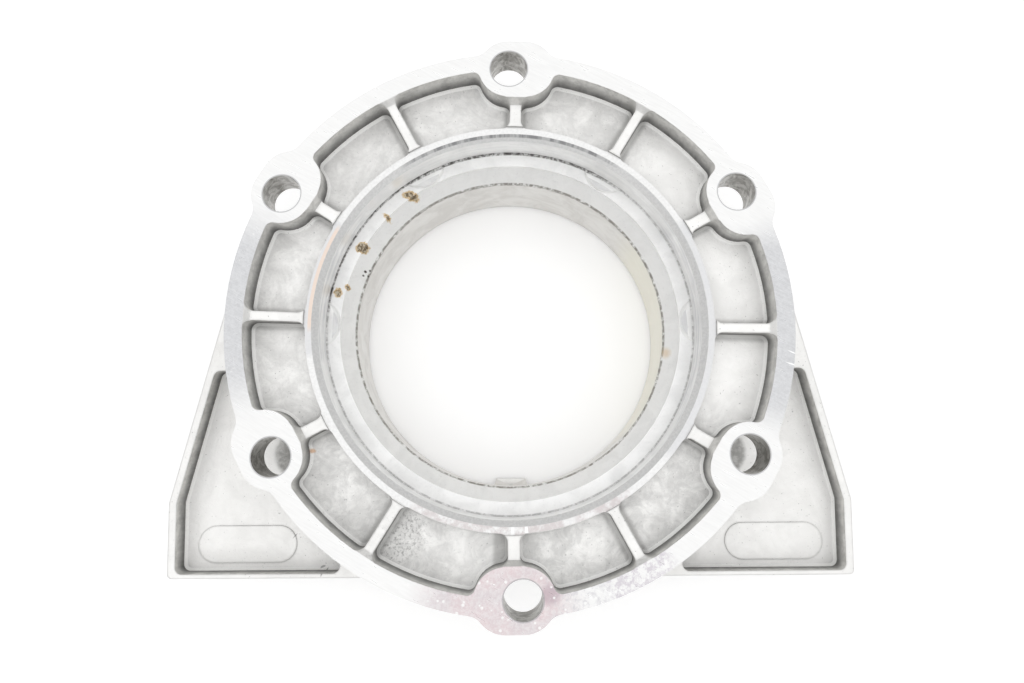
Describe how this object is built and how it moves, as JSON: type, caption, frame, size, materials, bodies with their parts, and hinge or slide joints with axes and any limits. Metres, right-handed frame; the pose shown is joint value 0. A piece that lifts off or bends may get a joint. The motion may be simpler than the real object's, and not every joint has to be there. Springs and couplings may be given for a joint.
{
  "type": "die cast housing",
  "caption": "Die cast aluminium flange housing: a bored hub in a ribbed round flange with bolt ears, on a short barrel with two sunk-panel wings and a straight base.",
  "frame": {"origin": "where the bore's axis meets the rear resting face", "axes": "+Z along the bore's axis, out of the front flange; +Y towards the ear opposite the straight base; +X to the right, seen from the front"},
  "size_m": [0.213, 0.1706, 0.046],
  "materials": {
    "cast_aluminium": "as cast, with machined and slightly stained faces"
  },
  "bodies": {
    "root": {"housing": "cast_aluminium"}
  },
  "joints": []
}
